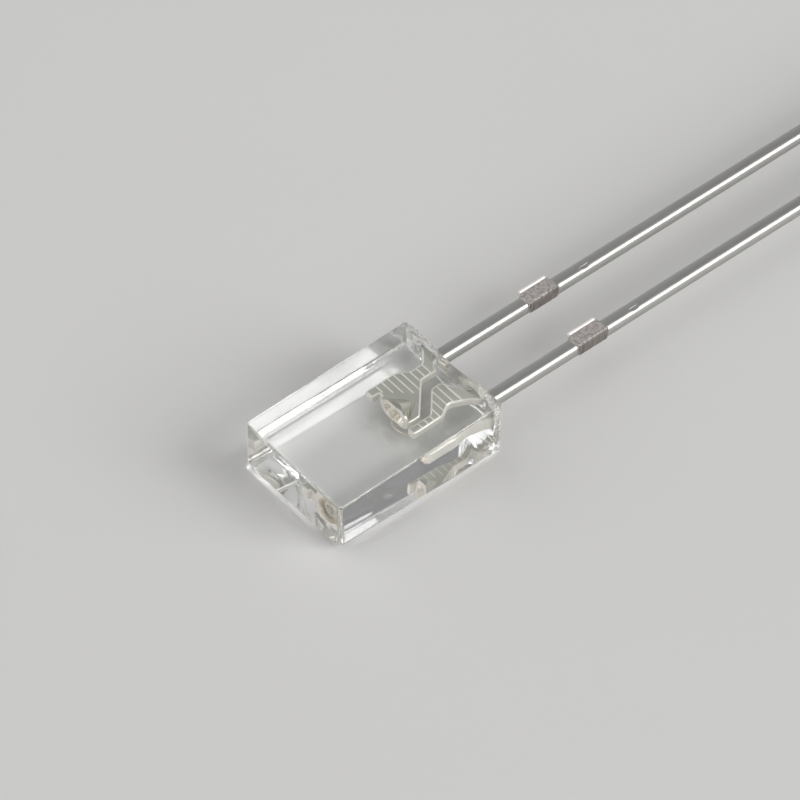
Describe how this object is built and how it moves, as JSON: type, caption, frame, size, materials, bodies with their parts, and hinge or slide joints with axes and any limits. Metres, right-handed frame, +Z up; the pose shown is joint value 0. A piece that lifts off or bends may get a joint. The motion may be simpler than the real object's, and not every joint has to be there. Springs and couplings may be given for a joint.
{
  "type": "light-emitting diode",
  "caption": "Clear rectangular light-emitting diode: a drafted resin block cast round a stamped lead frame with a reflector cup, on straight square leads of unequal length.",
  "frame": {"origin": "midway between the two leads on the plane of the body's base rim, at half the body's thickness", "axes": "+Y along the leads away from the body, -Y the way the light leaves, +Z up from the broad side it lies on, +X across the leads from the cathode to the anode"},
  "size_m": [0.005, 0.035, 0.0024],
  "materials": {
    "clear_resin": "gloss",
    "plated_lead": "satin",
    "chip": "satin",
    "silver_adhesive": "satin",
    "gold_wire": "polished"
  },
  "bodies": {
    "root": {"clear_body": "clear_resin", "cathode_lead": "plated_lead", "anode_lead": "plated_lead", "led_chip": "chip", "chip_adhesive": "silver_adhesive", "bond_wire": "gold_wire"}
  },
  "joints": []
}
